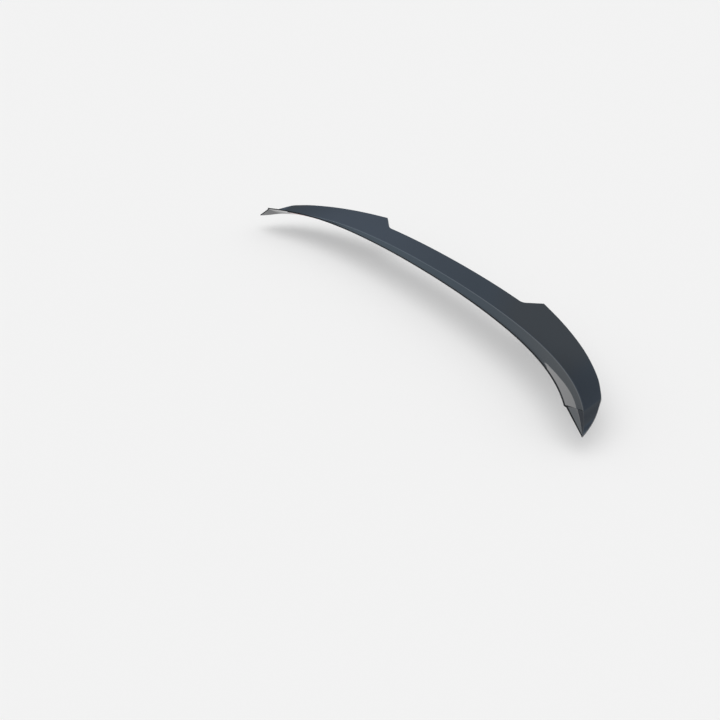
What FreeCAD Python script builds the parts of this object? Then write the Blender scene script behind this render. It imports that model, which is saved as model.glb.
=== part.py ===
"""Stick-on boot-lid spoiler extension: a thin moulded blade with its bonding tape and peel-off film.

Frame: +X towards the right-hand tip, +Y towards the back of the car, +Z up, as fitted on a boot lid.
The origin is the middle of the tape's bonding face. Lengths are in millimetres, angles in degrees.

The moulding is a sheet of even wall bent to a shallow V. The flange runs down from the leading edge
to the crease and lies on the boot lid, and the blade kicks up behind the crease. Both follow one
swept and drooping curve across the car. The blade is trimmed in plan: a lower middle stretch, a
slanted step up to each wing, a rounded outer corner and a pointed tip. A rim turns down along the
trailing edge, and beyond a fold the end of the flange bends down to the tip.
"""
import FreeCAD, Part
import math
import os

from FreeCAD import Vector

DIMENSIONS = [
    ("half_width", 626.9, "centre line to the tips"),
    ("tip_reach", 44.1, "fold to tip, measured on the crease"),
    ("fold_slant", 5.0, "how much further out the fold meets the crease than the leading edge"),
    ("lead_sweep", 102.6, "how far the leading edge runs forward from its middle to its corner"),
    ("sweep_mix", 0.469, "share of the sweep that is gathered towards the ends"),
    ("sweep_power", 5.77, "how sharply that share is gathered"),
    ("lead_droop", 14.9, "how far the leading edge drops from its middle to its corner"),
    ("lead_droop_power", 2.44, "how late that drop comes"),
    ("crease_droop", 18.2, "how far the crease drops over the same stretch"),
    ("crease_droop_power", 2.58, "how late that drop comes"),
    ("tip_hook", 9.6, "extra forward bend of the crease at the tip"),
    ("tip_drop", 8.4, "extra drop of the crease at the tip"),
    ("tip_power", 20.0, "how late that bend and drop come"),
    ("tip_blunt", 1.2, "width of the blunt point of the tip"),
    ("corner_step", 5.0, "how far behind the leading edge's corner the bent end's front edge starts"),
    ("flange_width", 52.6, "leading edge to crease, along the slope"),
    ("flange_angle", 20.5, "slope of the flange, down towards the back"),
    ("crease_blend", 2.0, "crease to each end of its rounding"),
    ("blade_angle", 19.9, "slope of the blade at the crease, up towards the back"),
    ("blade_curl", 1.66, "extra rise of the blade's edge at the wings' full run"),
    ("centre_run", 44.7, "crease to trailing edge in plan, in the middle stretch"),
    ("wing_run", 70.2, "crease to trailing edge in plan, where a wing starts"),
    ("corner_run", 46.0, "crease to trailing edge in plan, where the rounded end starts"),
    ("notch_half", 253.8, "centre line to the foot of the step"),
    ("notch_slant", 41.0, "how far the step leans outwards"),
    ("notch_radius", 18.0, "rounding at the foot of the step"),
    ("corner_setback", 96.2, "tip to the start of the rounded end"),
    ("end_bulge", 16.6, "how far the rounded end stands out from its chord"),
    ("wall", 2.8, "thickness of the moulding"),
    ("rim_depth", 8.2, "height of the turned-down trailing edge, wall included"),
    ("rim_wall", 3.0, "thickness of that rim"),
    ("rim_fade", 51.0, "tip to where the rim starts to fade"),
    ("rim_end", 34.0, "tip to where it has faded"),
    ("rim_lip", 0.3, "height of rim that is left from there to the tip"),
    ("rim_open_power", 8.0, "how late the rim thins away on the rounded end"),
    ("tape_width", 28.0, "width of the bonding tape"),
    ("tape_margin", 14.0, "leading edge to tape, along the slope"),
    ("tape_thickness", 0.8, "thickness of the foam tape"),
    ("tape_setback", 45.0, "fold to the tape's end"),
    ("film_thickness", 0.1, "thickness of the peel-off film"),
]

# Tolerances in millimetres: the least height of a side face, the least rise of an edge that stands up,
# and how close two points at one place are
LEAST_SIDE = 1e-6
LEAST_RISE = 1.0
SAME_PLACE = 0.01

doc = FreeCAD.newDocument("spoiler_extension")

sheet = doc.addObject("Spreadsheet::Sheet", "dims")
for row, (alias, value, note) in enumerate(DIMENSIONS, start=1):
    sheet.set("A%d" % row, alias)
    sheet.set("B%d" % row, str(value))
    sheet.setAlias("B%d" % row, alias)
    sheet.set("C%d" % row, note)
doc.recompute()


class Sizes:
    """The sheet's values under their names."""


size = Sizes()
for alias, value, note in DIMENSIONS:
    setattr(size, alias, float(sheet.get(alias)))

# Distances from the centre line to the fold on the crease, to the fold on the leading edge, and to the
# rounded end
fold_half = size.half_width - size.tip_reach
lead_half = fold_half - size.fold_slant
corner_half = size.half_width - size.corner_setback

# Upright thickness of a wall that lies at the flange's slope
SLOPE = math.cos(math.radians(size.flange_angle))
wall_drop = size.wall / SLOPE
tape_drop = size.tape_thickness / SLOPE
film_drop = size.film_thickness / SLOPE

# The flange's run and fall, and the bond point's place across it
flange_run = size.flange_width * SLOPE
flange_fall = size.flange_width * math.sin(math.radians(size.flange_angle))
tape_front = size.tape_margin / size.flange_width
tape_back = (size.tape_margin + size.tape_width) / size.flange_width
bond_share = 0.5 * (tape_front + tape_back)
lead_y = -bond_share * flange_run
lead_z = bond_share * flange_fall + wall_drop + tape_drop

# The blade's slope at the crease, and how far its untrimmed sheet reaches past the wings
lean = math.radians(size.blade_angle)
blade_slope = math.tan(lean)
blade_reach = size.wing_run + size.centre_run


def sweep(x):
    """Forward run of the leading edge at x."""
    share = abs(x) / lead_half
    gathered = size.sweep_mix * share ** size.sweep_power
    return -size.lead_sweep * ((1.0 - size.sweep_mix) * share ** 2 + gathered)


def lead_point(x):
    """Top of the leading edge."""
    share = abs(x) / lead_half
    return Vector(x, lead_y + sweep(x), lead_z - size.lead_droop * share ** size.lead_droop_power)


def crease_law(x):
    """The crease as one curve, which hooks forward and down into the tip."""
    share = abs(x) / lead_half
    tip = (abs(x) / size.half_width) ** size.tip_power
    y = lead_y + flange_run + sweep(x) - size.tip_hook * tip
    drop = size.crease_droop * share ** size.crease_droop_power + size.tip_drop * tip
    return Vector(x, y, lead_z - flange_fall - drop)


# Plane of the bent end, through the leading edge's corner, the fold and the tip
corner_point = lead_point(lead_half)
end_normal = (crease_law(size.half_width) - corner_point).cross(crease_law(fold_half) - corner_point)


def crease_point(x):
    """Top of the crease. Past the fold it eases into the plane of the bent end."""
    top = crease_law(x)
    past = max(0.0, (abs(x) - fold_half) / size.tip_reach)
    away = Vector(abs(x), top.y, top.z) - corner_point
    over = away.dot(end_normal) / end_normal.z
    return top - Vector(0, 0, over * (1.0 - (1.0 - past) ** 2))


def blade_height(run):
    """Height of the blade's top over the crease, a run behind it."""
    return run * blade_slope + size.blade_curl * (run / size.wing_run) ** 2


def blade_row(x, first, last, row):
    """Control point of the blade's curved section from a first run to a last one; rows 0, 1 and 2."""
    start = crease_point(x) + Vector(0, first, blade_height(first))
    end = crease_point(x) + Vector(0, last, blade_height(last))
    slope = blade_slope + 2 * size.blade_curl * first / size.wing_run ** 2
    half = 0.5 * (last - first)
    return (start, start + Vector(0, half, half * slope), end)[row]


# Stations across the car, from tip to tip, with one on each fold
ratio = size.half_width / fold_half
outer = [1.0 + (ratio - 1.0) * step / 5 for step in range(6)]
inner = [0.0, 0.2, 0.4, 0.58, 0.74, 0.87, 0.95]
half_stations = inner + outer
stations = [-share for share in reversed(half_stations[1:])] + half_stations
main_stations = [share for share in stations if abs(share) <= 1.0]


def spline(point, shares, reach):
    """Smooth curve through the stations, with the share of the reach as its parameter."""
    curve = Part.BSplineCurve()
    curve.interpolate(Points=[point(share * reach) for share in shares], Parameters=shares)
    return curve


def clipped(curve, first, last):
    """The stretch of a curve between two stations."""
    part = curve.copy()
    part.segment(first, last)
    return part


def strip(curves):
    """Surface that takes each curve in turn as a row of its control points."""
    degree = len(curves) - 1
    first = curves[0]
    poles = [list(row) for row in zip(*[curve.getPoles() for curve in curves])]
    surface = Part.BSplineSurface()
    surface.buildFromPolesMultsKnots(
        poles, first.getMultiplicities(), [degree + 1, degree + 1], first.getKnots(), [0.0, 1.0],
        False, False, first.Degree, degree)
    return surface.toShape()


def straight(curve, start, end):
    """Straight line from start to end on the same stations as another curve."""
    flat = curve.copy()
    knots = flat.KnotSequence
    degree = flat.Degree
    span = flat.LastParameter - flat.FirstParameter
    for index in range(flat.NbPoles):
        mean = sum(knots[index + 1:index + 1 + degree]) / degree
        share = (mean - flat.FirstParameter) / span
        flat.setPole(index + 1, start + (end - start) * share)
    return flat


def between(near, far, share):
    """Curve that lies at a share of the way from one curve to another."""
    mixed = near.copy()
    for index, (one, two) in enumerate(zip(near.getPoles(), far.getPoles()), start=1):
        mixed.setPole(index, one * (1.0 - share) + two * share)
    return mixed


def slab(sheets):
    """Solid under a sheet of faces. Each entry is a face and how far it is let straight down."""
    shell = []
    edges = {}
    for face, drop in sheets:
        shell.append(face)
        shell.append(face.translated(Vector(0, 0, -drop)))
        for edge in face.Edges:
            middle = edge.valueAt(0.5 * (edge.FirstParameter + edge.LastParameter))
            key = (round(middle.x, 3), round(middle.y, 3), round(middle.z, 3))
            edges.setdefault(key, []).append((edge, drop))
    for sharing in edges.values():
        edge = sharing[0][0]
        low = max(drop for _, drop in sharing)
        high = min(drop for _, drop in sharing) if len(sharing) > 1 else 0.0
        if low - high > LEAST_SIDE:
            shell.append(edge.translated(Vector(0, 0, -high)).extrude(Vector(0, 0, high - low)))
    closed = Part.Shell(shell)
    closed.sewShape()
    solid = Part.Solid(Part.Shell(closed.Faces))
    if solid.Volume < 0:
        solid.reverse()
    return solid


def lowered(curve, first_drop, last_drop):
    """A curve let down by an amount that changes evenly from its first station to its last."""
    line = straight(curve, Vector(0, 0, first_drop), Vector(0, 0, last_drop))
    low = curve.copy()
    for index, (place, drop) in enumerate(zip(curve.getPoles(), line.getPoles()), start=1):
        low.setPole(index, place - drop)
    return low


def blade_rows(first, last):
    """The three control curves of the blade from a first run to a last one."""
    rows = []
    for row in range(3):
        rows.append(spline(lambda x: blade_row(x, first, last, row), stations, fold_half))
    return rows


# Guide curves
lead = spline(lead_point, main_stations, lead_half)
crease = spline(crease_point, stations, fold_half)
blade = blade_rows(size.crease_blend, blade_reach)
crease_main = clipped(crease, -1.0, 1.0)
blend_share = 1.0 - size.crease_blend / size.flange_width

# The blank: flange and bent ends at the wall's thickness, the blade as deep as its rim
rim_drop = size.rim_depth / math.cos(lean)
sheets = []
hollow_sheets = []
for first, last in ((-ratio, -1.0), (-1.0, 1.0), (1.0, ratio)):
    rows = [clipped(curve, first, last) for curve in blade]
    valley = clipped(crease, first, last)
    front = lead
    if first != -1.0:
        corner = lead_point(math.copysign(lead_half, first))
        point = crease_point(math.copysign(size.half_width, first)) + Vector(0, -size.tip_blunt, 0)
        start, end = (corner, point) if first > 0 else (point, corner)
        front = straight(valley, start, end)
    near = between(front, valley, blend_share)
    sheets.append((strip([front, near]), wall_drop))
    sheets.append((strip([near, valley, rows[0]]), wall_drop))
    sheets.append((strip(rows), rim_drop))
    hollow_sheets.append((strip(rows).translated(Vector(0, 0, -wall_drop)), rim_drop))

blank = doc.addObject("Part::Feature", "blank")
blank.Shape = slab(sheets)

# The hollow under the blade, which leaves the wall above it
hollow = doc.addObject("Part::Feature", "hollow")
hollow.Shape = slab(hollow_sheets)

# The space under the fading end of the rim
lip_drop = wall_drop + size.rim_lip
fade_from = (size.half_width - size.rim_fade) / fold_half
fade_to = (size.half_width - size.rim_end) / fold_half
fade_stretches = (
    (-ratio, -fade_to, lip_drop, lip_drop), (-fade_to, -fade_from, lip_drop, rim_drop),
    (fade_from, fade_to, rim_drop, lip_drop), (fade_to, ratio, lip_drop, lip_drop))


def fade_block(name, stretches):
    """Space under the blade below a height that changes evenly along each stretch."""
    under = []
    for first, last, first_drop, last_drop in stretches:
        rows = [lowered(clipped(curve, first, last), first_drop, last_drop) for curve in blade]
        under.append((strip(rows), 2 * rim_drop))
    block = doc.addObject("Part::Feature", name)
    block.Shape = slab(under)
    return block


# The rim stands square to the blade
rim_axis = Vector(0, math.sin(lean), -math.cos(lean))


def laid_flat(x, y):
    """The point of the blade's top over a plan point, moved along the rim's axis to height zero."""
    here = crease_point(x)
    run = y - here.y
    return Vector(x, y + (here.z + blade_height(run)) * blade_slope, 0)


def trailing(x, run, inset):
    """Trailing edge at x, a run behind the crease and less an inset, laid flat."""
    return laid_flat(x, crease_point(x).y + run - inset)


def wing_run(x):
    """Run of the blade on a wing, which tapers evenly from the step to the outer corner."""
    start = size.notch_half + size.notch_slant
    share = (abs(x) - start) / (corner_half - start)
    return size.wing_run + (size.corner_run - size.wing_run) * share


def crossing(curve, line_point, line_dir, low, high):
    """The x where a plan curve y(x) crosses a straight line."""
    def side(x):
        here = curve(x) - line_point
        return here.x * line_dir.y - here.y * line_dir.x
    first = side(low)
    for _ in range(60):
        half = 0.5 * (low + high)
        value = side(half)
        if (value > 0) == (first > 0):
            low = half
        else:
            high = half
    return 0.5 * (low + high)


def plan_face(inset, flare):
    """Outline of the trimmed panel laid flat, drawn in by an inset and let out at the tips by a flare."""
    top_x = size.notch_half + size.notch_slant

    def centre(x):
        return trailing(x, size.centre_run, inset)

    def wing(x):
        return trailing(x, wing_run(x), inset)

    # The step from the middle stretch to a wing
    foot = trailing(size.notch_half, size.centre_run, 0)
    head = trailing(top_x, size.wing_run, 0)
    along = (head - foot).normalize()
    line = foot + Vector(along.y, -along.x, 0) * inset
    foot_x = crossing(centre, line, along, 0.0, top_x + inset)
    head_x = crossing(wing, line, along, foot_x, corner_half)
    foot, head = centre(foot_x), wing(head_x)

    # The rounded end bulges from the chord between the wing's end and the tip
    corner = wing(corner_half)
    tip = laid_flat(size.half_width, crease_point(size.half_width).y)
    chord = tip - corner
    outward = Vector(-chord.y, chord.x, 0).normalize()
    rounded = []
    for share in (0.25, 0.5, 0.75, 1.0):
        bulge = 4 * size.end_bulge * share * (1.0 - share) + flare * share ** size.rim_open_power
        rounded.append(corner + chord * share + outward * bulge)
    wing_points = [wing(head_x + (corner_half - head_x) * step / 4) for step in range(5)]
    outer_points = wing_points + rounded
    tip = outer_points[-1]
    ahead = Vector(tip.x, lead_y - 3 * size.lead_sweep, 0)

    def mirrored(vector):
        return Vector(-vector.x, vector.y, vector.z)

    def smooth(points):
        curve = Part.BSplineCurve()
        curve.interpolate(points)
        return curve.toShape()

    centre_points = [centre(foot_x * step / 4) for step in range(1, 5)]
    near_points = [mirrored(point) for point in reversed(centre_points)]
    edges = [
        smooth(near_points + [centre(0.0)] + centre_points),
        Part.makeLine(foot, head),
        smooth(outer_points),
        Part.makeLine(tip, ahead),
        Part.makeLine(ahead, mirrored(ahead)),
        Part.makeLine(mirrored(ahead), mirrored(tip)),
        smooth([mirrored(point) for point in reversed(outer_points)]),
        Part.makeLine(mirrored(head), mirrored(foot)),
    ]
    return Part.Face(Part.Wire(edges)), foot


def plan_block(name, inset, flare):
    """Block over an outline along the rim's axis, with the feet of its steps rounded."""
    face, foot = plan_face(inset, flare)
    plan = doc.addObject("Part::Feature", name + "_plan")
    plan.Shape = face
    tall = doc.addObject("Part::Extrusion", name + "_block")
    tall.Base = plan
    tall.DirMode = "Custom"
    tall.Dir = rim_axis
    tall.Solid = True
    tall.setExpression("LengthFwd", "dims.wing_run + dims.lead_droop + dims.rim_depth")
    tall.setExpression("LengthRev", "dims.wing_run + dims.lead_droop + dims.rim_depth")
    doc.recompute()
    picked = []
    for index, edge in enumerate(tall.Shape.Edges, start=1):
        low, high = edge.Vertexes[0].Point, edge.Vertexes[-1].Point
        rise = high.z - low.z
        if abs(rise) < LEAST_RISE:
            continue
        level = low + (high - low) * (-low.z / rise)
        if math.hypot(abs(level.x) - foot.x, level.y - foot.y) < SAME_PLACE:
            picked.append((index, size.notch_radius, size.notch_radius))
    rounded = doc.addObject("Part::Fillet", name + "_rounded")
    rounded.Base = tall
    rounded.Edges = picked
    return rounded


outline = plan_block("outline", 0.0, 0.0)
recess = plan_block("recess", size.rim_wall, size.rim_wall)

trimmed = doc.addObject("Part::Common", "trimmed_blank")
trimmed.Base = blank
trimmed.Tool = outline

bay = doc.addObject("Part::Common", "bay")
bay.Base = hollow
bay.Tool = recess

shelled = doc.addObject("Part::Cut", "shelled")
shelled.Base = trimmed
shelled.Tool = bay


def step_block(name, side):
    """Block ahead of a bent end's front edge, which starts a step behind the leading edge's corner."""
    corner = lead_point(side * lead_half)
    fold = crease_point(side * fold_half) - corner
    back = corner + fold.normalize() * size.corner_step
    point = crease_point(side * size.half_width) + Vector(0, -size.tip_blunt, 0)
    ahead = Vector(0, -size.lead_sweep, 0)
    ring = [corner, back, point, point + ahead, corner + ahead, corner]
    plan = doc.addObject("Part::Feature", name + "_plan")
    plan.Shape = Part.Face(Part.makePolygon([Vector(place.x, place.y, 0) for place in ring]))
    block = doc.addObject("Part::Extrusion", name)
    block.Base = plan
    block.DirMode = "Custom"
    block.Dir = Vector(0, 0, 1)
    block.Solid = True
    block.setExpression("LengthFwd", "dims.lead_sweep")
    block.setExpression("LengthRev", "dims.lead_sweep")
    return block


faded = doc.addObject("Part::Cut", "faded")
faded.Base = shelled
faded.Tool = doc.addObject("Part::MultiFuse", "fades")
left_fade = fade_block("left_fade", fade_stretches[:2])
right_fade = fade_block("right_fade", fade_stretches[2:])
faded.Tool.Shapes = [left_fade, right_fade]

moulding = doc.addObject("Part::Cut", "moulding")
moulding.Base = faded
moulding.Tool = doc.addObject("Part::MultiFuse", "corner_steps")
moulding.Tool.Shapes = [step_block("right_step", 1), step_block("left_step", -1)]
moulding.Refine = True
moulding.Label = "spoiler_moulding"


def bond_strip(name, top_drop, drop):
    """Strip along the flange's underside, from the tape's front edge to its back edge."""
    reach = 1.0 - size.tape_setback / lead_half
    rows = []
    for share in (tape_front, tape_back):
        rows.append(clipped(between(lead, crease_main, share), -reach, reach))
    face = strip(rows).translated(Vector(0, 0, -top_drop))
    piece = doc.addObject("Part::Feature", name)
    piece.Shape = slab([(face, drop)])
    piece.Label = name
    return piece


tape = bond_strip("bonding_tape", wall_drop, tape_drop)
film = bond_strip("release_film", wall_drop + tape_drop, film_drop)

doc.recompute()

pieces = [moulding, tape, film]
for item in doc.Objects:
    if "Invalid" in item.State or "Error" in item.State:
        raise RuntimeError("%s failed: %s" % (item.Name, item.State))
for piece in pieces:
    if piece.Shape.isNull() or not piece.Shape.isValid() or len(piece.Shape.Solids) != 1:
        raise RuntimeError("%s is not one valid solid" % piece.Label)

os.makedirs("parts", exist_ok=True)
for piece in pieces:
    piece.Shape.exportStep("parts/%s.step" % piece.Label)
    box = piece.Shape.BoundBox
    print(piece.Label, "volume %.0f" % piece.Shape.Volume,
          "x %.1f..%.1f y %.1f..%.1f z %.1f..%.1f" % (
              box.XMin, box.XMax, box.YMin, box.YMax, box.ZMin, box.ZMax))
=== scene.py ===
"""Looks of a stick-on boot-lid spoiler extension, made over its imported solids.

The moulding, its bonding tape and the peel-off film are closed surfaces, worked out from the same sizes
as the solids and with the roundings that moulded and cut parts have. They replace the solids in the
picture.

Lengths are in metres and angles in degrees. +X is the right-hand tip, +Y the back of the car, +Z up.
A section is the cut through the part behind one point of its crease, given by that point's x.
"""
import math

import bpy
import numpy as np
from mathutils import Matrix, Vector


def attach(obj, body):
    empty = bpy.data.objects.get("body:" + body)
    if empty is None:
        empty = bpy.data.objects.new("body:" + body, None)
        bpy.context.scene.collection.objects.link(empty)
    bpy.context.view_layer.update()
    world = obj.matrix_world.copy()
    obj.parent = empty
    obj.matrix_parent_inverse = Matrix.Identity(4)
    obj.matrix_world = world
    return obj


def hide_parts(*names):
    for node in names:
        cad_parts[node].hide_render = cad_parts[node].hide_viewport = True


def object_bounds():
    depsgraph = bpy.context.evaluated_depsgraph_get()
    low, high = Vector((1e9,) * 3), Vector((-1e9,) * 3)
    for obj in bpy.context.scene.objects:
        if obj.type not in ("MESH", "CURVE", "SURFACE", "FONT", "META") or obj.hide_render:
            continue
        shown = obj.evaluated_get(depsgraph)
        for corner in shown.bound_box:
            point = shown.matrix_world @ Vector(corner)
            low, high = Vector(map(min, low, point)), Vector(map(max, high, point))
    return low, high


bl_info = {
    "name": "Spoiler extension",
    "version": (1, 0, 0),
    "blender": (4, 5, 0),
    "location": "3D View > Sidebar > Spoiler",
    "description": "Builds the moulding, tape, film and studio of a boot-lid spoiler extension",
    "category": "Object",
}

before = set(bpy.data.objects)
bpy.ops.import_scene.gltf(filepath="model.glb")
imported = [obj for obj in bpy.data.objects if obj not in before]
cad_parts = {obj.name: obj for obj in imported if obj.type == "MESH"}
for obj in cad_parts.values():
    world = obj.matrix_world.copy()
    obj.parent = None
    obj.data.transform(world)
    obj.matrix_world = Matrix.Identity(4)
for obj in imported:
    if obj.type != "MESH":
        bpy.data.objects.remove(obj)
CAD_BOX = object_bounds()
UP = np.array([0.0, 0.0, 1.0])

# Points of the trailing edge's curve, and rounds that bring it back to the blade
WING_KNOTS = 5
END_KNOTS = 14
CURVE_POINTS = 600
SETTLING_ROUNDS = 8

# Least run of the blade, as a share of the tip's blunt width
LEAST_RUN = 0.2

# Points in each stretch of the loop round a section of the moulding
NOSE_POINTS = 9
FLANGE_POINTS = 28
CREASE_POINTS = 9
BLADE_POINTS = 22
TRAIL_POINTS = 7
RIM_SHARES = (0.33, 0.67)
RIM_POINTS = 5
INNER_POINTS = 6
UNDER_POINTS = 20

# Strips of the flange next to the leading edge that get the front wall's dark dull finish, widening the
# painted shade along the leading edge
SHADED_EDGE_STRIPS = 3

# Largest roundings and rim wall, as shares of the stretch that they lie on
EDGE_LIMIT = 0.25
CREASE_LIMIT = 0.35
RIM_LIMIT = 0.35
INNER_LIMIT = 0.2
LOW_LIMIT = 0.3
HIGH_LIMIT = 0.4

# Least rounding inside the rim, in metres
LEAST_ROUNDING = 0.00002

# Rim's fade and roundings, and the start of the underside, as multiples of what they follow
RIM_FADE_END = 1.5
RIM_ROUNDING = 0.6
UNDER_START = 1.05

# Sections and points of the tape and film, and their roundings as a share of their height
STRIP_SECTIONS = 241
STRIP_POINTS = 16
STRIP_CORNER_POINTS = 4
STRIP_ROUNDING = 0.3

# Width of the camera's sensor, in millimetres
SENSOR_WIDTH = 36.0

# What reflections see by height: the upward part of the direction, and the colour there
SKY_BY_HEIGHT = (
    (0.13, (0.97, 0.97, 0.97)),
    (0.20, (0.74, 0.74, 0.75)),
    (0.48, (0.70, 0.76, 0.79)),
    (0.61, (0.48, 0.51, 0.57)),
    (0.69, (0.40, 0.43, 0.465)),
    (0.72, (0.43, 0.41, 0.39)),
    (0.92, (0.16, 0.17, 0.20)),
)

# What that is multiplied by: the backward part of the direction, and the tint there
SKY_BY_DEPTH = (
    (0.185, (0.62, 0.74, 0.86)),
    (0.21, (0.38, 0.45, 0.53)),
    (0.235, (0.38, 0.45, 0.53)),
    (0.28, (0.62, 0.74, 0.86)),
    (0.50, (0.62, 0.74, 0.86)),
    (0.74, (1.0, 1.0, 1.0)),
)


# Sizes and colours

def length(name, default, words):
    """A length in metres."""
    return bpy.props.FloatProperty(
        name=name, description=words, default=default, unit="LENGTH", precision=5)


def number(name, default, words):
    """A plain number."""
    return bpy.props.FloatProperty(name=name, description=words, default=default, precision=3)


def angle(name, default, words):
    """An angle, written in degrees."""
    return bpy.props.FloatProperty(
        name=name, description=words, default=math.radians(default), subtype="ANGLE")


def colour(name, default, words):
    """A colour in linear values."""
    return bpy.props.FloatVectorProperty(
        name=name, description=words, default=default, size=3, min=0.0, max=1.0, subtype="COLOR")


class MouldingSizes(bpy.types.PropertyGroup):
    """Sizes of the moulding, as in the solids, and its roundings."""
    half_width: length("Half width", CAD_BOX[1].x, "Centre line to the tips")
    tip_reach: length("Tip reach", 0.0441, "Fold to tip, measured on the crease")
    fold_slant: length("Fold slant", 0.005, "How much further out the fold meets the crease")
    lead_sweep: length("Sweep", 0.1026, "Forward run of the leading edge from its middle to its corner")
    sweep_mix: number("Sweep mix", 0.469, "Share of the sweep that is gathered towards the ends")
    sweep_power: number("Sweep power", 5.77, "How sharply that share is gathered")
    lead_droop: length("Leading edge droop", 0.0149, "Drop of the leading edge to its corner")
    lead_droop_power: number("Leading edge droop power", 2.44, "How late that drop comes")
    crease_droop: length("Crease droop", 0.0182, "Drop of the crease over the same stretch")
    crease_droop_power: number("Crease droop power", 2.58, "How late that drop comes")
    tip_hook: length("Tip hook", 0.0096, "Extra forward bend of the crease at the tip")
    tip_drop: length("Tip drop", 0.0084, "Extra drop of the crease at the tip")
    tip_power: number("Tip power", 20.0, "How late that bend and drop come")
    tip_blunt: length("Tip blunt", 0.0012, "Width of the blunt point of the tip")
    corner_step: length("Corner step", 0.005, "Leading edge's corner to the bent end's front edge")
    flange_width: length("Flange width", 0.0526, "Leading edge to crease, along the slope")
    flange_angle: angle("Flange angle", 20.5, "Slope of the flange, down towards the back")
    blade_angle: angle("Blade angle", 19.9, "Slope of the blade at the crease, up towards the back")
    blade_curl: length("Blade curl", 0.00166, "Extra rise of the blade's edge at the wings' full run")
    centre_run: length("Centre run", 0.0447, "Crease to trailing edge in the middle stretch")
    wing_run: length("Wing run", 0.0702, "Crease to trailing edge where a wing starts")
    corner_run: length("Corner run", 0.046, "Crease to trailing edge where the rounded end starts")
    notch_half: length("Step foot", 0.2538, "Centre line to the foot of the step")
    notch_slant: length("Step slant", 0.041, "How far the step leans outwards")
    foot_blend: length("Step foot rounding", 0.0095, "Foot of the step to each end of its rounding")
    head_blend: length("Step head rounding", 0.0013, "Head of the step to each end of its rounding")
    corner_setback: length("Corner setback", 0.0962, "Tip to the start of the rounded end")
    end_bulge: length("End bulge", 0.0166, "How far the rounded end stands out from its chord")
    end_corner: length("End corner", 0.0016, "How far the rounded end's soft corner stands out")
    end_corner_place: number("End corner place", 0.40, "Place of that corner, as a share of the chord")
    end_corner_spread: number("End corner spread", 0.10, "Spread of that corner, as a share of the chord")
    wall: length("Wall", 0.0028, "Thickness of the moulding")
    rim_depth: length("Rim depth", 0.0082, "Height of the turned-down trailing edge")
    rim_wall: length("Rim wall", 0.003, "Thickness of that rim")
    rim_fade: length("Rim fade", 0.034, "Tip to the end of the rim")
    fold_blend: length("Fold rounding", 0.0012, "Fold to each end of its rounding")
    crease_blend: length("Crease rounding", 0.002, "Crease to each end of its rounding")
    tip_crease_blend: length("Tip crease rounding", 0.0006, "The same on a bent end, where it is tighter")
    facet_rise: number("Facet rise", 0.052, "Height of a bent end's faint ridge, as a share of its width")
    facet_crest: number("Facet crest", 0.56, "Place of that ridge between the front edge and the crease")
    lead_dish: length("Leading edge dish", 0.00026, "Depth of the faint hollow behind the leading edge")
    dish_place: length("Dish place", 0.010, "Leading edge to the deepest line of that hollow")
    dish_half: length("Dish half", 0.468, "Centre line to where that hollow starts to fade")
    dish_fade: length("Dish fade", 0.045, "Stretch over which it fades")
    lead_round: number("Leading edge rounding", 0.45, "Its reach, as a share of the wall's height")
    edge_blend: length("Trailing edge rounding", 0.0008, "Trailing edge to each end of its rounding")
    inner_blend: length("Inner rounding", 0.0013, "Rounding between the rim and the underside")


class BondSizes(bpy.types.PropertyGroup):
    """Sizes of the bonding tape and its peel-off film."""
    tape_width: length("Tape width", 0.028, "Width of the bonding tape")
    tape_margin: length("Tape margin", 0.014, "Leading edge to tape, along the slope")
    tape_thickness: length("Tape thickness", 0.0008, "Thickness of the foam tape")
    tape_setback: length("Tape setback", 0.045, "Fold to the tape's end")
    film_thickness: length("Film thickness", 0.0001, "Thickness of the peel-off film")


class FinishColours(bpy.types.PropertyGroup):
    """Colours of the pieces and of the studio."""
    slate: colour("Gloss slate", (0.017, 0.020, 0.025), "Gloss plastic of the moulding")
    # The dull edge's colour, darker than the slate, is painted shade along the front wall and the fold's
    # line; its dullness is the unpolished edge's own
    edge: colour("Dull edge", (0.008, 0.010, 0.012), "Unpolished front wall of the moulding")
    foam: colour("Foam", (0.035, 0.035, 0.038), "Foam of the tape")
    film: colour("Film red", (0.74, 0.085, 0.105), "Red peel-off film")
    floor: colour("Floor", (0.88, 0.88, 0.88), "Studio floor and background")


class StudioSizes(bpy.types.PropertyGroup):
    """Places and strengths of the studio."""
    floor_drop: length("Floor drop", 0.0738, "Bonding face down to the floor")
    floor_half: length("Floor half", 30.0, "Half the width of the floor")
    floor_glow: number("Floor glow", 0.30, "Share of the floor's light that shadows don't take away")
    sky_strength: number("Sky strength", 0.713, "Light from all round")
    lamp_strength: number("Lamp strength", 1.0, "Strength of the soft lamp")
    lamp_spread: angle("Lamp spread", 76.0, "How wide the soft lamp looks from the part")
    lamp_azimuth: angle("Lamp azimuth", 340.0, "Direction the lamp shines, from +Y towards -X")
    lamp_elevation: angle("Lamp elevation", 75.0, "How steeply the lamp shines down")
    camera_place: bpy.props.FloatVectorProperty(
        name="Camera place", description="The camera's lens",
        default=(1.4034, -1.0226, 0.7489), subtype="XYZ")
    camera_azimuth: angle("Camera azimuth", 59.06, "Direction the camera looks, from +Y towards -X")
    camera_elevation: angle("Camera elevation", 29.61, "How far the camera looks down")
    camera_lens: number("Camera lens", 41.307, "Focal length in millimetres on a 36 mm sensor")


# Laws of the form

def points(x, y, z):
    """Points from their coordinates, in one array with x, y and z last."""
    return np.stack(np.broadcast_arrays(x, y, z), axis=-1)


def rounded_corner(x, place, reach, before, after):
    """Two plan curves joined at a place, with a parabola over the reach to each side of it.

    The parabola has its control point at the corner, so it leaves both curves along their slope.
    """
    share = np.clip((x - place + reach) / (2 * reach), 0.0, 1.0)
    start = before(np.array([place - reach]))
    corner = before(np.array([place]))
    end = after(np.array([place + reach]))
    bend = (1 - share) ** 2 * start + 2 * share * (1 - share) * corner + share ** 2 * end
    return np.where(x <= place - reach, before(x), np.where(x >= place + reach, after(x), bend))


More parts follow.
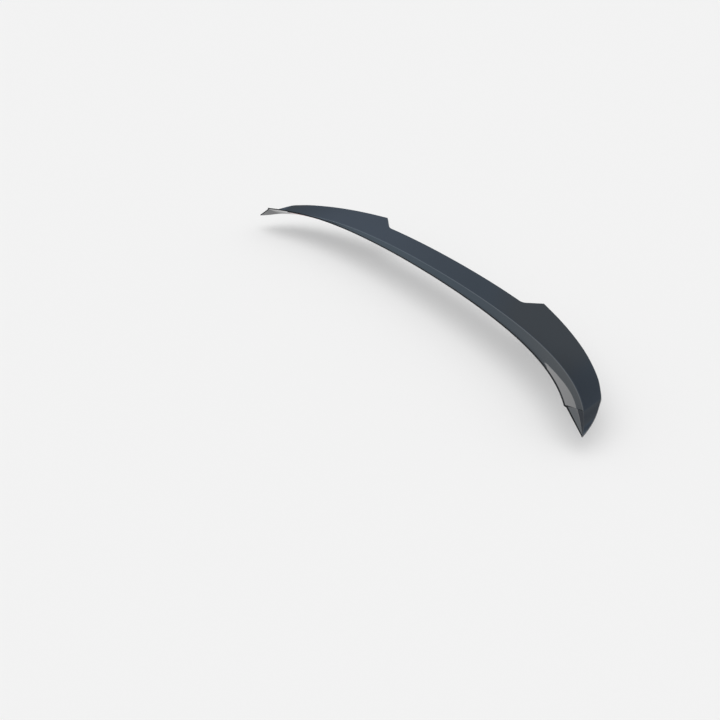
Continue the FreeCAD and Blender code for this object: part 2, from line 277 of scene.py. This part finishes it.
def smooth_curve(knots, count):
    """Natural cubic spline through plan points, by chord length, as an even row of points."""
    gaps = np.linalg.norm(np.diff(knots, axis=0), axis=1)
    along = np.concatenate([[0.0], np.cumsum(gaps)])
    inside = np.arange(1, len(knots) - 1)
    system = np.eye(len(knots))
    system[inside, inside - 1] = gaps[:-1]
    system[inside, inside] = 2 * (gaps[:-1] + gaps[1:])
    system[inside, inside + 1] = gaps[1:]
    slopes = np.diff(knots, axis=0) / gaps[:, None]
    wanted = np.zeros_like(knots)
    wanted[1:-1] = 6 * np.diff(slopes, axis=0)
    bends = np.linalg.solve(system, wanted)
    place = np.linspace(0.0, along[-1], count)
    span = np.clip(np.searchsorted(along, place, side="right") - 1, 0, len(gaps) - 1)
    gap = gaps[span][:, None]
    near = (along[span + 1] - place)[:, None] / gap
    far = 1 - near
    bent = (near ** 3 - near) * bends[span] + (far ** 3 - far) * bends[span + 1]
    return near * knots[span] + far * knots[span + 1] + bent * gap ** 2 / 6


class Form:
    """The moulding's shape as functions of x, with whole arrays in and out."""

    def __init__(self, sizes, bond):
        self.sizes = sizes
        self.bond = bond
        self.fold_half = sizes.half_width - sizes.tip_reach
        self.lead_half = self.fold_half - sizes.fold_slant
        self.corner_half = sizes.half_width - sizes.corner_setback
        slope = math.cos(sizes.flange_angle)
        self.wall_drop = sizes.wall / slope
        self.tape_drop = bond.tape_thickness / slope
        self.film_drop = bond.film_thickness / slope
        self.flange_run = sizes.flange_width * slope
        self.flange_fall = sizes.flange_width * math.sin(sizes.flange_angle)
        self.tape_front = bond.tape_margin / sizes.flange_width
        self.tape_back = (bond.tape_margin + bond.tape_width) / sizes.flange_width
        middle = 0.5 * (self.tape_front + self.tape_back)
        self.lead_y = -middle * self.flange_run
        self.lead_z = middle * self.flange_fall + self.wall_drop + self.tape_drop
        lean = sizes.blade_angle
        self.rim_axis = np.array([0.0, math.sin(lean), -math.cos(lean)])
        self.corner = self.lead(self.lead_half)
        fold, tip = self.crease_law(np.array([self.fold_half, sizes.half_width]))
        self.facet = np.cross(tip - self.corner, fold - self.corner)

    def sweep(self, x):
        """Forward run of the leading edge: a parabola mixed with a steeper power of x."""
        share = np.abs(x) / self.lead_half
        mix = self.sizes.sweep_mix
        return -self.sizes.lead_sweep * ((1 - mix) * share ** 2 + mix * share ** self.sizes.sweep_power)

    def lead(self, x):
        """Top of the leading edge, swept forward and drooping by a power of x."""
        share = np.abs(x) / self.lead_half
        drop = self.sizes.lead_droop * share ** self.sizes.lead_droop_power
        return points(x, self.lead_y + self.sweep(x), self.lead_z - drop)

    def crease_law(self, x):
        """Crease as one curve: the same sweep, its own droop, and a late hook and drop into the tip."""
        sizes = self.sizes
        share = np.abs(x) / self.lead_half
        tip = (np.abs(x) / sizes.half_width) ** sizes.tip_power
        drop = sizes.crease_droop * share ** sizes.crease_droop_power + sizes.tip_drop * tip
        y = self.lead_y + self.flange_run + self.sweep(x) - sizes.tip_hook * tip
        return points(x, y, self.lead_z - self.flange_fall - drop)

    def crease(self, x):
        """Top of the crease.

        Past the fold it eases into the plane of the leading corner, the fold and the tip.
        """
        top = self.crease_law(x)
        past = np.clip((np.abs(x) - self.fold_half) / self.sizes.tip_reach, 0.0, 1.0)
        away = points(np.abs(x), top[..., 1], top[..., 2]) - self.corner
        off = away @ self.facet / self.facet[2]
        return top - points(0.0, 0.0, off * (1 - (1 - past) ** 2))

    def front(self, x):
        """Front edge of a section: the leading edge, a small step at the fold, then a line to the tip.

        Over the reach of the fold's rounding a cubic joins the two, with its inner control points at the
        ends of the step.
        """
        sizes = self.sizes
        side = np.sign(x)
        tip = self.crease(side * sizes.half_width) - points(0.0, sizes.tip_blunt, 0.0)
        corner = self.lead(side * self.lead_half)
        back = towards(corner, self.crease(side * self.fold_half), np.full_like(x, sizes.corner_step))

        def main(place):
            return self.lead(side * np.minimum(place / self.fold_half, 1.0) * self.lead_half)

        def end(place):
            share = np.clip((place - self.fold_half) / sizes.tip_reach, 0.0, 1.0)[:, None]
            return back * (1 - share) + tip * share

        size = np.abs(x)
        low = np.full_like(x, self.fold_half - sizes.fold_blend)
        high = np.full_like(x, self.fold_half + sizes.fold_blend)
        share = np.clip((size - low) / (high - low), 0.0, 1.0)[:, None]
        bend = (1 - share) ** 3 * main(low) + 3 * (1 - share) ** 2 * share * corner
        bend = bend + 3 * (1 - share) * share ** 2 * back + share ** 3 * end(high)
        joined = np.where((size >= high)[:, None], end(size), bend)
        return np.where((size <= low)[:, None], main(size), joined)

    def blade(self, x, run):
        """Top of the blade, a run behind the crease: an even slope plus a parabola."""
        sizes = self.sizes
        rise = run * math.tan(sizes.blade_angle) + sizes.blade_curl * (run / sizes.wing_run) ** 2
        return self.crease(x) + points(0.0, run, rise)

    def flat_y(self, x, run):
        """Plan place of a point of the blade once it is moved along the rim's axis to height zero."""
        top = self.blade(x, run)
        return top[..., 1] + top[..., 2] * math.tan(self.sizes.blade_angle)

    def wing_y(self, x):
        """Trailing edge of a wing, whose run tapers evenly from the step to the rounded end."""
        sizes = self.sizes
        start = sizes.notch_half + sizes.notch_slant
        share = (x - start) / (self.corner_half - start)
        return self.flat_y(x, sizes.wing_run + (sizes.corner_run - sizes.wing_run) * share)

    def outer_curve(self):
        """Trailing edge from the step to the tip: points of the wing, then of the rounded end.

        The rounded end stands out from its chord by a parabola plus a low bell curve, its soft corner.
        """
        sizes = self.sizes
        wing_x = np.linspace(sizes.notch_half + sizes.notch_slant, self.corner_half, WING_KNOTS)
        wing = np.stack([wing_x, self.wing_y(wing_x)], axis=-1)
        tip_x = np.array([sizes.half_width])
        chord = np.array([sizes.half_width, self.flat_y(tip_x, 0.0)[0]]) - wing[-1]
        outward = np.array([-chord[1], chord[0]]) / np.linalg.norm(chord)
        share = np.linspace(0.0, 1.0, END_KNOTS + 1)[1:, None]
        beside = (share - sizes.end_corner_place) / sizes.end_corner_spread
        proud = 4 * sizes.end_bulge * share * (1 - share) + sizes.end_corner * np.exp(-beside ** 2)
        rounded = wing[-1] + chord * share + outward * proud
        return smooth_curve(np.concatenate([wing, rounded]), CURVE_POINTS)

    def run(self, x):
        """Run of the blade: middle stretch, step, wing and rounded end, with the step's corners eased.

        The outline is drawn flat, square to the rim, and a few rounds bring it back to the blade.
        """
        sizes = self.sizes
        size = np.abs(x)
        foot = sizes.notch_half
        head = foot + sizes.notch_slant
        curve = self.outer_curve()

        def centre(place):
            return self.flat_y(place, sizes.centre_run)

        def step(place):
            low = centre(np.array([foot]))
            high = self.wing_y(np.array([head]))
            return low + (high - low) * (place - foot) / sizes.notch_slant

        def inner(place):
            return rounded_corner(place, foot, sizes.foot_blend, centre, step)

        def outer(place):
            return np.interp(place, curve[:, 0], curve[:, 1])

        flat = rounded_corner(size, head, sizes.head_blend, inner, outer)
        run = np.full_like(size, sizes.centre_run)
        for _ in range(SETTLING_ROUNDS):
            run = run + (flat - self.flat_y(size, run)) / (1 + math.tan(sizes.blade_angle) ** 2)
        return np.maximum(run, LEAST_RUN * sizes.tip_blunt)


# Surfaces

def arc(start, corner, end, count):
    """Parabola from start to end with its control point at the corner, one for each section."""
    share = np.linspace(0.0, 1.0, count)[None, :, None]
    bent = (1 - share) ** 2 * start[:, None] + share ** 2 * end[:, None]
    return bent + 2 * share * (1 - share) * corner[:, None]


def stretch(start, end, shares):
    """Straight stretch from start to end at the given shares, one for each section."""
    share = np.asarray(shares)[None, :, None]
    return start[:, None] * (1 - share) + end[:, None] * share


def towards(start, end, distance):
    """The point at a distance from start on the way to end."""
    way = end - start
    return start + way * (distance / np.linalg.norm(way, axis=-1))[:, None]


def eased(value, start, end):
    """Share from 0 at start to 1 at end, along the cubic that is level at both."""
    share = np.clip((value - start) / (end - start), 0.0, 1.0)
    return share * share * (3 - 2 * share)


def graded(count):
    """Shares of a stretch that lie closer together towards its ends, without the ends themselves."""
    return 0.5 - 0.5 * np.cos(np.linspace(0.0, math.pi, count + 2)[1:-1])


def section_places(form):
    """x of every section from tip to tip, closer together at the step, the fold and the tip."""
    sizes = form.sizes
    foot, head = sizes.notch_half, sizes.notch_half + sizes.notch_slant
    fold = form.fold_half
    near_fold = fold - 4 * sizes.fold_blend
    stops = [
        (0.0, foot - sizes.foot_blend, 70),
        (foot - sizes.foot_blend, foot + sizes.foot_blend, 12),
        (foot + sizes.foot_blend, head - sizes.head_blend, 14),
        (head - sizes.head_blend, head + sizes.head_blend, 8),
        (head + sizes.head_blend, near_fold, 90),
        (near_fold, fold - sizes.fold_blend, 8),
        (fold - sizes.fold_blend, fold + sizes.fold_blend, 16),
        (fold + sizes.fold_blend, sizes.half_width, 60),
    ]
    half = [np.linspace(start, end, count, endpoint=False) for start, end, count in stops]
    half = np.concatenate(half + [np.array([sizes.half_width])])
    return np.concatenate([-half[:0:-1], half])


def bent_end_ridge(form, past, flange, shares):
    """Rise of the faint ridge along a bent end: even slopes from both sides to its crest."""
    crest = form.sizes.facet_crest
    climb = np.minimum(shares / crest, (1 - shares) / (1 - crest))
    return (form.sizes.facet_rise * past * flange)[:, None, None] * climb[None, :, None] * UP


def lead_hollow(form, x, flange, shares):
    """Depth of the faint hollow behind the leading edge: t exp(1 - t), with t = 1 where it is deepest."""
    sizes = form.sizes
    behind = shares * flange[:, None] / sizes.dish_place
    kept = np.clip((sizes.dish_half + sizes.dish_fade - np.abs(x)) / sizes.dish_fade, 0.0, 1.0)
    return (sizes.lead_dish * kept[:, None] * behind * np.exp(1 - behind))[..., None] * UP


def moulding_loops(form, x):
    """Closed loop round each section of the moulding.

    From the leading edge over the flange, through the crease and up the blade, round the trailing edge
    and its rim, and back along the underside at an even wall. Each corner is a parabola.
    """
    sizes = form.sizes
    wall = form.wall_drop * UP
    run = form.run(x)
    front = form.front(x)
    crease = form.crease(x)
    flange = np.linalg.norm(crease - front, axis=-1)
    edge = np.minimum(sizes.edge_blend, EDGE_LIMIT * run)
    nose = np.minimum(sizes.lead_round * form.wall_drop, EDGE_LIMIT * flange)
    past = np.clip((np.abs(x) - form.fold_half) / sizes.fold_blend, 0.0, 1.0)
    rounding = sizes.crease_blend + (sizes.tip_crease_blend - sizes.crease_blend) * past
    blend = np.minimum(rounding, CREASE_LIMIT * np.minimum(flange, run))

    # Top, from the leading edge to the trailing edge
    nose_rise = nose[:, None] * UP
    nose_end = towards(front, crease, nose)
    flange_end = towards(crease, front, blend)
    flange_shares = graded(FLANGE_POINTS)
    ridge = bent_end_ridge(form, past, flange, flange_shares)
    hollow = lead_hollow(form, x, flange, flange_shares)
    blade_shares = graded(BLADE_POINTS)
    blade_runs = blend[:, None] + (run - edge - blend)[:, None] * blade_shares[None, :]
    blade_start = form.blade(x, blend)
    blade_top = form.blade(x[:, None], blade_runs)
    blade_end = form.blade(x, run - edge)
    trail = form.blade(x, run)

    # Rim, which thins and shortens before the tip
    kept = eased(sizes.half_width - np.abs(x), sizes.rim_fade, RIM_FADE_END * sizes.rim_fade)
    depth = sizes.wall + (sizes.rim_depth - sizes.wall) * kept
    down = form.rim_axis * depth[:, None]
    inset = np.minimum(sizes.rim_wall, RIM_LIMIT * run)
    rim_edge = np.minimum(RIM_ROUNDING * edge, INNER_LIMIT * inset)
    rim_start = trail + form.rim_axis * edge[:, None]
    rim_foot = trail + down
    rim_end = towards(rim_foot, trail, rim_edge)
    inner_foot = form.blade(x, run - inset) + down
    lean = sizes.wall * math.sin(sizes.blade_angle) * np.where(run < 2 * sizes.wall, 0.5, 1.0)
    inner_run = np.minimum(run - inset + lean, run)
    inner_head = form.blade(x, inner_run) - wall
    gap = np.linalg.norm(inner_foot - inner_head, axis=-1)
    inner_low = np.clip(LOW_LIMIT * gap, LEAST_ROUNDING, rim_edge + LEAST_ROUNDING)
    inner_high = np.clip(HIGH_LIMIT * gap, LEAST_ROUNDING, sizes.inner_blend)
    inner_start = towards(inner_foot, rim_foot, rim_edge)
    inner_end = towards(inner_foot, inner_head, inner_low)

    # Underside, from the rim to the leading edge
    inner_reach = np.minimum(sizes.inner_blend, INNER_LIMIT * run)
    under_last = np.maximum(inner_run - inner_reach, UNDER_START * blend)
    under_runs = under_last[:, None] + (blend - under_last)[:, None] * blade_shares[None, :]
    under_end = form.blade(x, under_last) - wall
    under_blade = form.blade(x[:, None], under_runs) - wall
    low_crease = crease - wall
    low_front = front - wall
    low_nose = towards(low_front, low_crease, nose)

    loops = [
        arc(front - nose_rise, front, nose_end, NOSE_POINTS),
        stretch(nose_end, flange_end, flange_shares) + ridge - hollow,
        arc(flange_end, crease, blade_start, CREASE_POINTS),
        blade_top,
        arc(blade_end, trail, rim_start, TRAIL_POINTS),
        stretch(rim_start, rim_end, RIM_SHARES),
        arc(rim_end, rim_foot, towards(rim_foot, inner_foot, rim_edge), RIM_POINTS),
        arc(inner_start, inner_foot, inner_end, RIM_POINTS),
        arc(towards(inner_head, inner_foot, inner_high), inner_head, under_end, INNER_POINTS),
        under_blade,
        arc(blade_start - wall, low_crease, flange_end - wall, CREASE_POINTS),
        stretch(flange_end - wall, low_nose, graded(UNDER_POINTS)),
        arc(low_nose, low_front, low_front + nose_rise, NOSE_POINTS),
    ]
    return np.concatenate(loops, axis=1)


def strip_loops(form, x, top_drop, drop):
    """Closed loop round each section of a strip under the flange, with its corners rounded."""
    front = form.lead(x)
    back = form.crease(x * form.fold_half / form.lead_half)
    near = front + (back - front) * form.tape_front - top_drop * UP
    far = front + (back - front) * form.tape_back - top_drop * UP
    low_near = near - drop * UP
    low_far = far - drop * UP
    soft = np.full(len(x), STRIP_ROUNDING * drop)
    up = soft[:, None] * UP
    shares = graded(STRIP_POINTS)
    loops = [
        arc(near - up, near, towards(near, far, soft), STRIP_CORNER_POINTS),
        stretch(towards(near, far, soft), towards(far, near, soft), shares),
        arc(towards(far, near, soft), far, far - up, STRIP_CORNER_POINTS),
        arc(low_far + up, low_far, towards(low_far, low_near, soft), STRIP_CORNER_POINTS),
        stretch(towards(low_far, low_near, soft), towards(low_near, low_far, soft), shares),
        arc(towards(low_near, low_far, soft), low_near, low_near + up, STRIP_CORNER_POINTS),
    ]
    return np.concatenate(loops, axis=1)


def skin(name, loops):
    """Mesh object over a row of closed loops: quads between neighbours and one face over each end."""
    rows, columns = loops.shape[:2]
    index = np.arange(rows * columns).reshape(rows, columns)
    beside = np.roll(index, -1, axis=1)
    quads = np.stack([index[:-1], beside[:-1], beside[1:], index[1:]], axis=-1).reshape(-1, 4)
    faces = quads.tolist() + [index[0][::-1].tolist(), index[-1].tolist()]
    mesh = bpy.data.meshes.new(name)
    mesh.from_pydata(loops.reshape(-1, 3).tolist(), [], faces)
    mesh.polygons.foreach_set("use_smooth", np.ones(len(faces), dtype=bool))
    mesh.update()
    if mesh.validate():
        raise RuntimeError("%s has faces that don't hold together" % name)
    piece = bpy.data.objects.new(name, mesh)
    bpy.context.scene.collection.objects.link(piece)
    return piece


def dull_and_shaded_faces(form, x, columns):
    """Finish number of each face of the moulding's skin: 1, the dark dull finish, on the front wall and
    on the line of the fold.

    The front wall's arcs start and end each loop. The fold's line is its rounding on top of the flange.
    The dark line along the fold is painted shade. On the front wall the darkness is painted shade and the
    dullness is the unpolished edge's own.
    """
    column = np.arange(columns)
    wall = (column < NOSE_POINTS + SHADED_EDGE_STRIPS) | (column >= columns - NOSE_POINTS)
    top = column < NOSE_POINTS + FLANGE_POINTS
    middle = np.abs(0.5 * (x[1:] + x[:-1]))
    fold = np.abs(middle - form.fold_half) < form.sizes.fold_blend
    dull = wall[None, :] | (fold[:, None] & top[None, :])
    return np.concatenate([dull.ravel(), [False, False]]).astype(np.int32)


def dress(piece, material, node):
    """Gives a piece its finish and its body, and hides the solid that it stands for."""
    piece.data.materials.append(material)
    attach(piece, "root")
    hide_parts(node)


# Finishes

def finish(name):
    """A new node material with its tree and its surface shader."""
    material = bpy.data.materials.new(name)
    material.use_nodes = True
    tree = material.node_tree
    return material, tree, tree.nodes["Principled BSDF"]


def noise(tree, scale, detail):
    """Noise on object coordinates; scale is in cells for each metre."""
    place = tree.nodes.new("ShaderNodeTexCoord")
    pattern = tree.nodes.new("ShaderNodeTexNoise")
    pattern.inputs["Scale"].default_value = scale
    pattern.inputs["Detail"].default_value = detail
    tree.links.new(place.outputs["Object"], pattern.inputs["Vector"])
    return pattern


def relief(tree, pattern, shader, strength, distance):
    """Bump from a pattern into a shader."""
    bump = tree.nodes.new("ShaderNodeBump")
    bump.inputs["Strength"].default_value = strength
    bump.inputs["Distance"].default_value = distance
    tree.links.new(pattern.outputs["Fac"], bump.inputs["Height"])
    tree.links.new(bump.outputs["Normal"], shader.inputs["Normal"])


def tinted(tree, pattern, shader, base, spread):
    """Colour that drifts a little round the base with a pattern."""
    ramp = tree.nodes.new("ShaderNodeValToRGB")
    ramp.color_ramp.elements[0].color = [value * (1 - spread) for value in base] + [1.0]
    ramp.color_ramp.elements[1].color = [value * (1 + spread) for value in base] + [1.0]
    tree.links.new(pattern.outputs["Fac"], ramp.inputs["Fac"])
    tree.links.new(ramp.outputs["Color"], shader.inputs["Base Color"])


def ranged(tree, pattern, socket, low, high):
    """A value that drifts between two limits with a pattern."""
    scaled = tree.nodes.new("ShaderNodeMapRange")
    scaled.inputs["To Min"].default_value = low
    scaled.inputs["To Max"].default_value = high
    tree.links.new(pattern.outputs["Fac"], scaled.inputs["Value"])
    tree.links.new(scaled.outputs["Result"], socket)


def gloss_slate(colours):
    """Gloss moulded plastic: dark slate with a faint flow in its colour, its gloss and its surface."""
    material, tree, shader = finish("gloss_slate")
    shader.inputs["IOR"].default_value = 2.0
    tinted(tree, noise(tree, scale=9.0, detail=3.0), shader, colours.slate, spread=0.12)
    ranged(tree, noise(tree, scale=30.0, detail=4.0), shader.inputs["Roughness"], low=0.02, high=0.04)
    relief(tree, noise(tree, scale=420.0, detail=2.0), shader, strength=0.01, distance=0.0001)
    return material


def dull_edge_and_painted_shade(colours):
    """Unpolished edge of the same plastic: dull and finely grained.

    Its colour, darker than the slate, and its weak reflection are painted shade along the front wall and
    the fold's line.
    """
    material, tree, shader = finish("dull_edge_and_painted_shade")
    # A low IOR and a colour darker than the slate: painted shade on the edge
    shader.inputs["IOR"].default_value = 1.2
    tinted(tree, noise(tree, scale=60.0, detail=3.0), shader, colours.edge, spread=0.15)
    ranged(tree, noise(tree, scale=240.0, detail=3.0), shader.inputs["Roughness"], low=0.40, high=0.55)
    relief(tree, noise(tree, scale=900.0, detail=2.0), shader, strength=0.05, distance=0.0001)
    return material


def tape_foam(colours):
    """Closed-cell foam: dark, dull and finely pitted."""
    material, tree, shader = finish("tape_foam")
    tinted(tree, noise(tree, scale=900.0, detail=4.0), shader, colours.foam, spread=0.35)
    shader.inputs["Roughness"].default_value = 0.85
    relief(tree, noise(tree, scale=2200.0, detail=3.0), shader, strength=0.5, distance=0.0002)
    return material


def red_film(colours):
    """Peel-off film: red, satin, with the faint waviness of a film on foam."""
    material, tree, shader = finish("red_film")
    tinted(tree, noise(tree, scale=25.0, detail=4.0), shader, colours.film, spread=0.07)
    shader.inputs["Coat Weight"].default_value = 1.0
    shader.inputs["Coat Roughness"].default_value = 0.06
    shader.inputs["Coat IOR"].default_value = 1.8
    ranged(tree, noise(tree, scale=160.0, detail=3.0), shader.inputs["Roughness"], low=0.32, high=0.45)
    relief(tree, noise(tree, scale=110.0, detail=3.0), shader, strength=0.12, distance=0.0004)
    return material


# Operators

def make_form(scene):
    """The form for the sizes in the scene."""
    return Form(scene.spoiler_moulding, scene.spoiler_bond)


class BuildMoulding(bpy.types.Operator):
    """Builds the gloss moulding with its crease, stepped trailing edge, rim and tips"""
    bl_idname = "spoiler.build_moulding"
    bl_label = "Build moulding"

    def execute(self, context):
        form = make_form(context.scene)
        colours = context.scene.spoiler_colours
        x = section_places(form)
        loops = moulding_loops(form, x)
        piece = skin("moulding", loops)
        dress(piece, gloss_slate(colours), "spoiler_moulding")
        # The front wall, the strips beside it and the fold's line get the dark dull finish: painted shade
        # on the moulding
        piece.data.materials.append(dull_edge_and_painted_shade(colours))
        piece.data.polygons.foreach_set("material_index", dull_and_shaded_faces(form, x, loops.shape[1]))
        return {"FINISHED"}


class BuildBond(bpy.types.Operator):
    """Builds the foam tape under the flange and the film on it"""
    bl_idname = "spoiler.build_bond"
    bl_label = "Build tape and film"

    def execute(self, context):
        form = make_form(context.scene)
        colours = context.scene.spoiler_colours
        reach = form.lead_half - form.bond.tape_setback
        x = np.linspace(-reach, reach, STRIP_SECTIONS)
        tape = skin("tape", strip_loops(form, x, form.wall_drop, form.tape_drop))
        dress(tape, tape_foam(colours), "bonding_tape")
        film = skin("film", strip_loops(form, x, form.wall_drop + form.tape_drop, form.film_drop))
        dress(film, red_film(colours), "release_film")
        # Neither throws its colour on the floor
        tape.visible_diffuse = False
        film.visible_diffuse = False
        return {"FINISHED"}


class BuildStudio(bpy.types.Operator):
    """Builds the pale floor, the soft light and the camera"""
    bl_idname = "spoiler.build_studio"
    bl_label = "Build studio"

    def execute(self, context):
        scene = context.scene
        studio = scene.spoiler_studio
        colours = scene.spoiler_colours
        self.make_floor(scene, studio, colours.floor)
        self.make_sky(scene, studio, colours)
        self.make_lamp(scene, studio)
        self.make_camera(scene, studio)
        scene.view_settings.view_transform = "Standard"
        return {"FINISHED"}

    def make_floor(self, scene, studio, pale):
        """A wide flat floor in the background's colour."""
        side = np.array([-1.0, 1.0]) * studio.floor_half
        corners = points(side[[0, 1, 1, 0]], side[[0, 0, 1, 1]], -studio.floor_drop)
        mesh = bpy.data.meshes.new("floor")
        mesh.from_pydata(corners.tolist(), [], [(0, 1, 2, 3)])
        material, _, shader = finish("floor_pale")
        lit = 1 - studio.floor_glow
        shader.inputs["Base Color"].default_value = [lit * value for value in pale] + [1.0]
        shader.inputs["Emission Color"].default_value = [*pale, 1.0]
        shader.inputs["Emission Strength"].default_value = studio.floor_glow
        shader.inputs["Roughness"].default_value = 1.0
        shader.inputs["Specular IOR Level"].default_value = 0.0
        mesh.materials.append(material)
        floor = bpy.data.objects.new("floor", mesh)
        scene.collection.objects.link(floor)

    def make_sky(self, scene, studio, colours):
        """Even light from all round. The camera sees the floor's colour in its place.

        Reflections see two colour ramps multiplied: one by height and one towards the back.
        """
        world = bpy.data.worlds.new("studio")
        world.use_nodes = True
        tree = world.node_tree
        light = tree.nodes["Background"]
        light.inputs["Color"].default_value = (1.0, 1.0, 1.0, 1.0)
        light.inputs["Strength"].default_value = studio.sky_strength
        path = tree.nodes.new("ShaderNodeLightPath")
        place = tree.nodes.new("ShaderNodeTexCoord")
        parts = tree.nodes.new("ShaderNodeSeparateXYZ")
        tree.links.new(place.outputs["Generated"], parts.inputs["Vector"])
        height = self.ramp(tree, parts.outputs["Z"], SKY_BY_HEIGHT)
        depth = self.ramp(tree, parts.outputs["Y"], SKY_BY_DEPTH)
        product = tree.nodes.new("ShaderNodeMix")
        product.data_type = "RGBA"
        product.blend_type = "MULTIPLY"
        product.inputs["Factor"].default_value = 1.0
        tree.links.new(height.outputs["Color"], product.inputs["A"])
        tree.links.new(depth.outputs["Color"], product.inputs["B"])
        mirrored = tree.nodes.new("ShaderNodeBackground")
        tree.links.new(product.outputs["Result"], mirrored.inputs["Color"])
        seen = tree.nodes.new("ShaderNodeBackground")
        seen.inputs["Color"].default_value = [*colours.floor, 1.0]
        shiny = tree.nodes.new("ShaderNodeMath")
        shiny.operation = "MAXIMUM"
        tree.links.new(path.outputs["Is Glossy Ray"], shiny.inputs[0])
        tree.links.new(path.outputs["Is Transmission Ray"], shiny.inputs[1])
        first = self.switch(tree, shiny.outputs["Value"], light, mirrored)
        second = self.switch(tree, path.outputs["Is Camera Ray"], first, seen)
        tree.links.new(second.outputs[0], tree.nodes["World Output"].inputs["Surface"])
        scene.world = world

    def ramp(self, tree, value, stops):
        """Smooth colour ramp over a value."""
        ramp = tree.nodes.new("ShaderNodeValToRGB")
        ramp.color_ramp.interpolation = "EASE"
        while len(ramp.color_ramp.elements) < len(stops):
            ramp.color_ramp.elements.new(1.0)
        for element, (place, shade) in zip(ramp.color_ramp.elements, stops):
            element.position = place
            element.color = [*shade, 1.0]
        tree.links.new(value, ramp.inputs["Fac"])
        return ramp

    def switch(self, tree, factor, without, with_it):
        """Mix of two shaders, the second where the factor is 1."""
        mix = tree.nodes.new("ShaderNodeMixShader")
        tree.links.new(factor, mix.inputs["Fac"])
        tree.links.new(without.outputs[0], mix.inputs[1])
        tree.links.new(with_it.outputs[0], mix.inputs[2])
        return mix

    def make_lamp(self, scene, studio):
        """One wide soft lamp, high up and a little in front, so far away that its light is even."""
        lamp = bpy.data.lights.new("soft_lamp", "SUN")
        lamp.energy = studio.lamp_strength
        lamp.angle = studio.lamp_spread
        holder = bpy.data.objects.new("soft_lamp", lamp)
        turn = Matrix.Rotation(studio.lamp_azimuth, 4, "Z")
        tilt = Matrix.Rotation(math.pi / 2 - studio.lamp_elevation, 4, "X")
        holder.matrix_world = turn @ tilt
        holder.visible_glossy = False
        scene.collection.objects.link(holder)

    def make_camera(self, scene, studio):
        """The camera, level and looking down along its azimuth and elevation."""
        camera = bpy.data.cameras.new("camera")
        camera.sensor_width = SENSOR_WIDTH
        camera.lens = studio.camera_lens
        camera.clip_end = 4 * studio.floor_half
        holder = bpy.data.objects.new("camera", camera)
        turn = Matrix.Rotation(studio.camera_azimuth, 4, "Z")
        tilt = Matrix.Rotation(math.pi / 2 - studio.camera_elevation, 4, "X")
        holder.matrix_world = Matrix.Translation(Vector(studio.camera_place)) @ turn @ tilt
        scene.collection.objects.link(holder)
        scene.camera = holder


class SpoilerPanel(bpy.types.Panel):
    """Lists the operators that build the part"""
    bl_idname = "VIEW3D_PT_spoiler_extension"
    bl_label = "Spoiler extension"
    bl_space_type = "VIEW_3D"
    bl_region_type = "UI"
    bl_category = "Spoiler"

    def draw(self, context):
        for operator in OPERATORS:
            self.layout.operator(operator.bl_idname)


OPERATORS = (BuildMoulding, BuildBond, BuildStudio)
GROUPS = {
    "spoiler_moulding": MouldingSizes,
    "spoiler_bond": BondSizes,
    "spoiler_colours": FinishColours,
    "spoiler_studio": StudioSizes,
}


def register():
    """Registers the classes and hangs the sizes and colours on the scene."""
    for group in GROUPS.values():
        bpy.utils.register_class(group)
    for name, group in GROUPS.items():
        setattr(bpy.types.Scene, name, bpy.props.PointerProperty(type=group))
    for kind in OPERATORS + (SpoilerPanel,):
        bpy.utils.register_class(kind)


def unregister():
    """Takes the classes and the scene's sizes away again."""
    for kind in reversed(OPERATORS + (SpoilerPanel,)):
        bpy.utils.unregister_class(kind)
    for name, group in GROUPS.items():
        delattr(bpy.types.Scene, name)
        bpy.utils.unregister_class(group)


def main():
    """Builds every piece and the studio."""
    register()
    bpy.ops.spoiler.build_moulding()
    bpy.ops.spoiler.build_bond()
    bpy.ops.spoiler.build_studio()
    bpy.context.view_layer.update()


if __name__ == "__main__":
    main()
